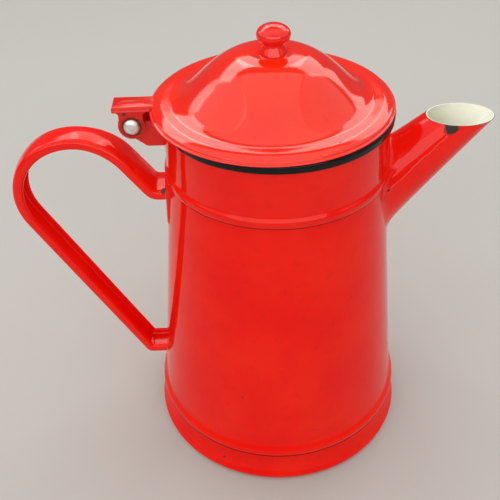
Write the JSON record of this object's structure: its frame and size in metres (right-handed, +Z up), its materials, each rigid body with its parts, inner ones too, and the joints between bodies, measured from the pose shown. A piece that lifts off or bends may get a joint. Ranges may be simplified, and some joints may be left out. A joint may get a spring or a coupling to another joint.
{
  "type": "enamelled coffee pot",
  "caption": "Tapered enamelled coffee pot with a hinged bell lid, a slanted side spout with a strainer behind it and a bowed channel handle.",
  "frame": {"origin": "centre of the base on the surface that the pot stands on", "axes": "+Z up, +X towards the spout; the handle and the lid's hinge are at -X"},
  "size_m": [0.217, 0.13, 0.2153],
  "materials": {
    "red_enamel": "gloss",
    "hinge_enamel": "gloss",
    "cream_enamel": "gloss",
    "rivet_aluminium": "satin"
  },
  "bodies": {
    "pot": {"base_pan": "red_enamel", "body_wall": "red_enamel", "neck_band": "red_enamel", "spout": "red_enamel", "handle": "red_enamel", "handle_saddle": "red_enamel", "hinge_bracket": "hinge_enamel", "hinge_rivet": "rivet_aluminium"},
    "lid": {"lid": "red_enamel", "lid_ring": "cream_enamel", "lid_strap": "hinge_enamel", "lid_knob": "red_enamel", "knob_rivet": "rivet_aluminium"}
  },
  "joints": [
    {"name": "lid_hinge", "type": "hinge", "parent": "pot", "child": "lid", "pos_m": [-0.0624, 0, 0.174], "axis": [0, -1, 0], "range_deg": [0, 152]}
  ]
}
